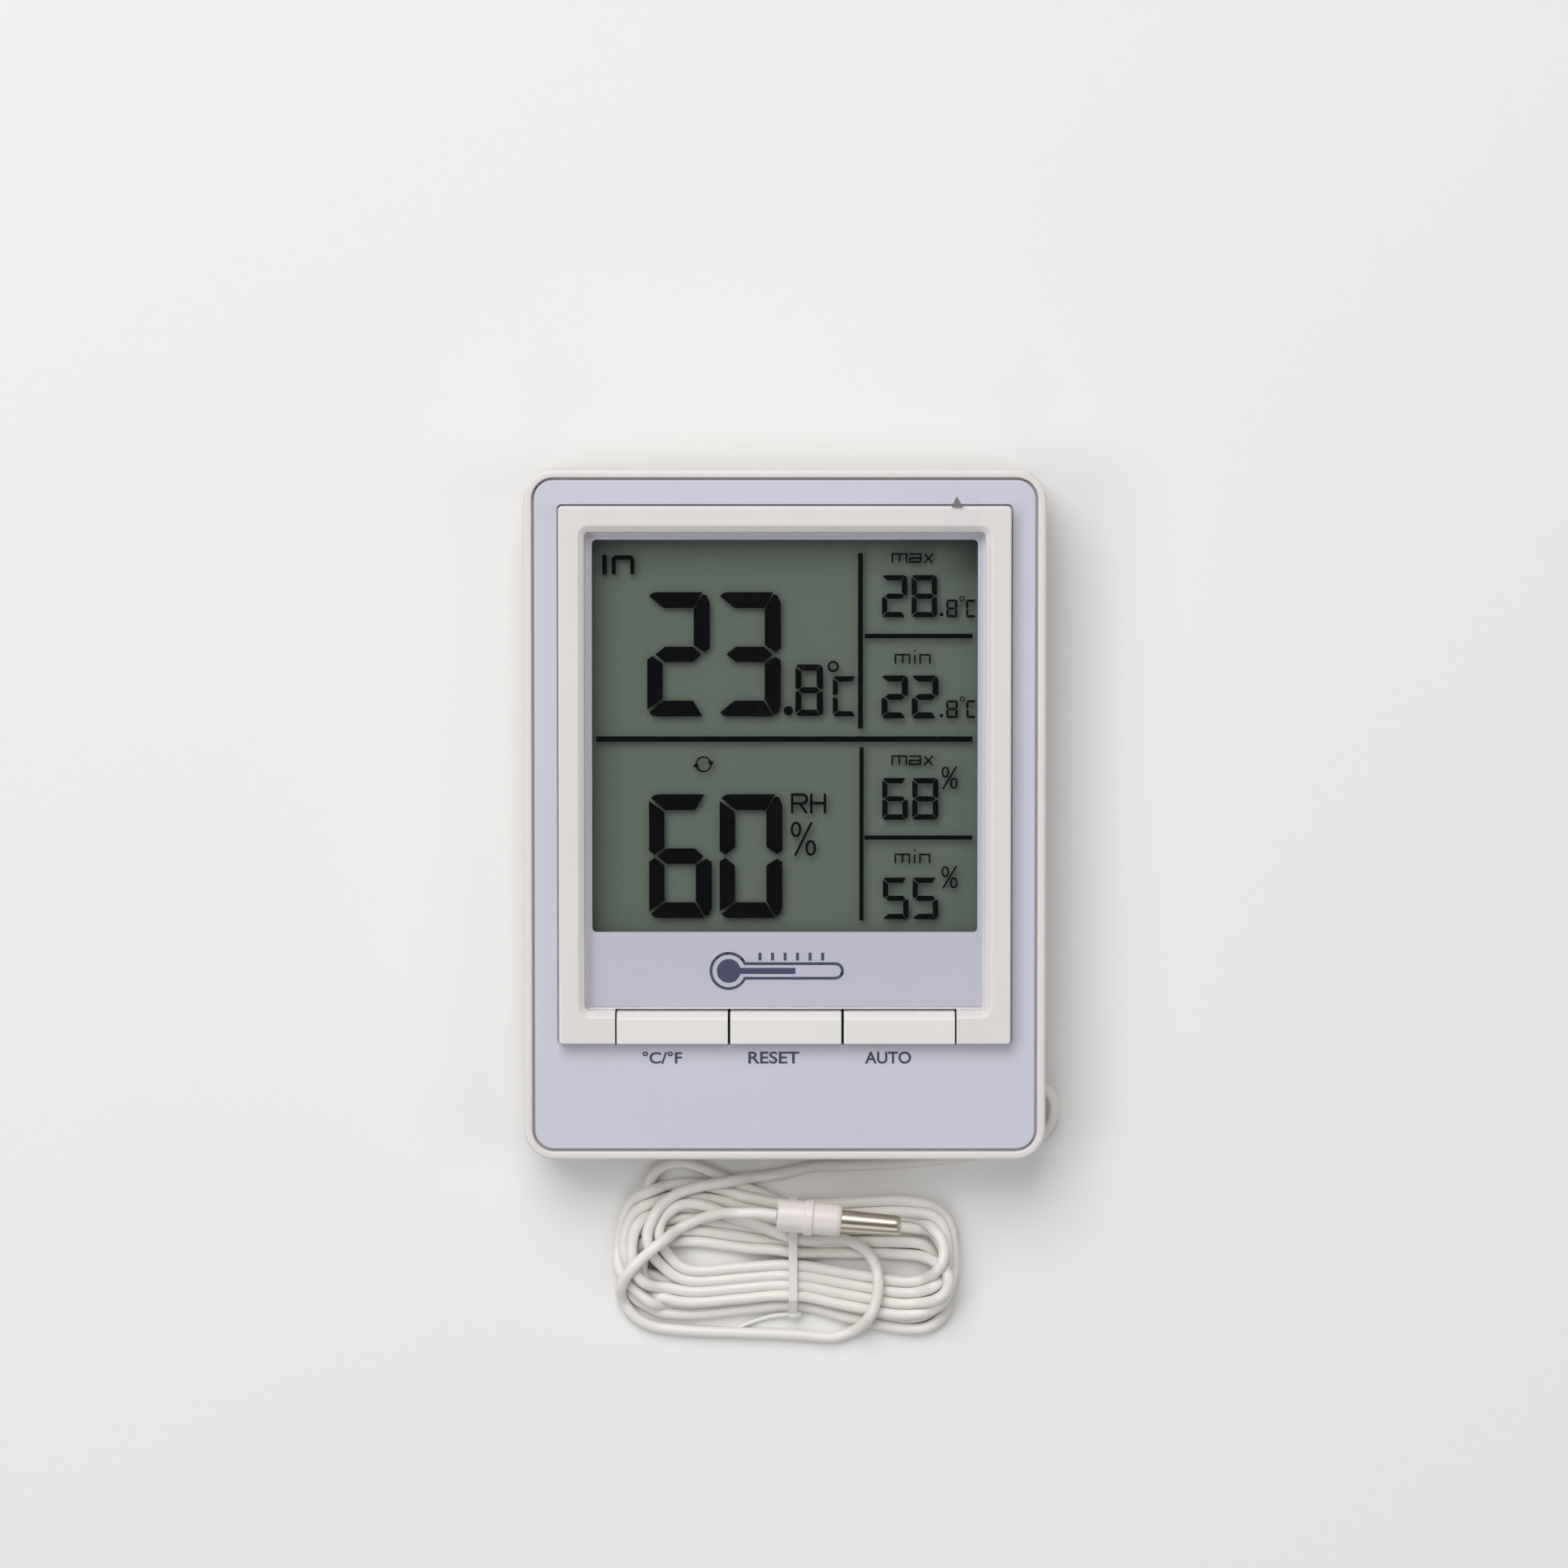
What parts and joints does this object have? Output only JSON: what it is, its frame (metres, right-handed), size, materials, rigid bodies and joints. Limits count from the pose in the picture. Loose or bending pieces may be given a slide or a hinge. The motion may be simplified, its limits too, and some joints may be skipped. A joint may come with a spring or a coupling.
{
  "type": "maximum minimum thermometer",
  "caption": "Indoor and outdoor digital thermometer with a framed display, a bar of push buttons and a cabled probe folded in a tied hank.",
  "frame": {"origin": "middle of the case's back face, which lies on the surface", "axes": "+Z out of the display, +Y to the top of the case, +X to the reader's right"},
  "size_m": [0.1031, 0.169, 0.0207],
  "materials": {
    "housing_white": "moulded ABS, fine satin texture",
    "plate_lavender": "moulded ABS, satin",
    "clear_acrylic": "clear, polished, with a printed border on its back",
    "clear_film": "thin clear film",
    "display_glass": "polished, with thin polariser",
    "reflector_foil": "grey green reflective foil",
    "carrier_plastic": "moulded",
    "connector_rubber": "silicone with carbon layers",
    "board_green": "glass fibre with solder resist",
    "black_epoxy": "cast resin",
    "tinned_metal": "drawn can",
    "sensor_white": "printed substrate",
    "switch_black": "moulded nylon",
    "screw_steel": "zinc plated",
    "battery_can": "plain printed sleeve",
    "nickel_spring": "nickel plated",
    "red_insulation": "soft insulation",
    "black_insulation": "soft insulation",
    "cable_white": "soft extruded sheath, semi matt",
    "grommet_rubber": "moulded, semi matt",
    "tie_plastic": "translucent extruded strip",
    "probe_plastic": "moulded, semi matt",
    "tip_nickel": "bright nickel plate"
  },
  "bodies": {
    "case": {"front_housing": "housing_white", "back_cover": "housing_white", "face_plate": "plate_lavender", "display_lens": "clear_acrylic", "protective_film": "clear_film", "lcd_front_glass": "display_glass", "lcd_rear_glass": "display_glass", "lcd_reflector": "reflector_foil", "lcd_holder": "carrier_plastic", "zebra_strip": "connector_rubber", "main_board": "board_green", "chip_blob": "black_epoxy", "room_thermistor": "black_epoxy", "probe_thermistor": "black_epoxy", "clock_crystal": "tinned_metal", "humidity_sensor": "sensor_white", "unit_switch": "switch_black", "reset_switch": "switch_black", "auto_switch": "switch_black", "battery": "battery_can", "battery_spring": "nickel_spring", "battery_contact_plus": "nickel_spring", "battery_contact_minus": "nickel_spring", "battery_wire_plus": "red_insulation", "battery_wire_minus": "black_insulation", "sensor_wire": "cable_white", "cable_grommet": "grommet_rubber", "cable_lead": "cable_white", "cable_hank": "cable_white", "probe_lead": "cable_white", "hank_tie": "tie_plastic", "probe_sleeve": "probe_plastic", "probe_tip": "tip_nickel", "case_screw_1": "screw_steel", "board_screw_1": "screw_steel", "case_screw_2": "screw_steel", "board_screw_2": "screw_steel", "case_screw_3": "screw_steel", "board_screw_3": "screw_steel", "case_screw_4": "screw_steel", "board_screw_4": "screw_steel"},
    "unit_key": {"unit_button": "housing_white", "unit_plunger": "switch_black"},
    "reset_key": {"reset_button": "housing_white", "reset_plunger": "switch_black"},
    "auto_key": {"auto_button": "housing_white", "auto_plunger": "switch_black"},
    "stand": {"stand_leg": "housing_white"},
    "door": {"battery_door": "housing_white"}
  },
  "joints": [
    {"name": "unit_press", "type": "slide", "parent": "case", "child": "unit_key", "axis": [0, 0, -1], "range_m": [0, 0.0005], "stiffness_N_per_m": 3000},
    {"name": "reset_press", "type": "slide", "parent": "case", "child": "reset_key", "axis": [0, 0, -1], "range_m": [0, 0.0005], "stiffness_N_per_m": 3000},
    {"name": "auto_press", "type": "slide", "parent": "case", "child": "auto_key", "axis": [0, 0, -1], "range_m": [0, 0.0005], "stiffness_N_per_m": 3000},
    {"name": "stand_hinge", "type": "hinge", "parent": "case", "child": "stand", "pos_m": [0, 0.022, 0.0019], "axis": [1, 0, 0], "range_deg": [0, 70]},
    {"name": "door_lift", "type": "slide", "parent": "case", "child": "door", "axis": [0, 0, -1], "range_m": [0, 0.02]}
  ]
}
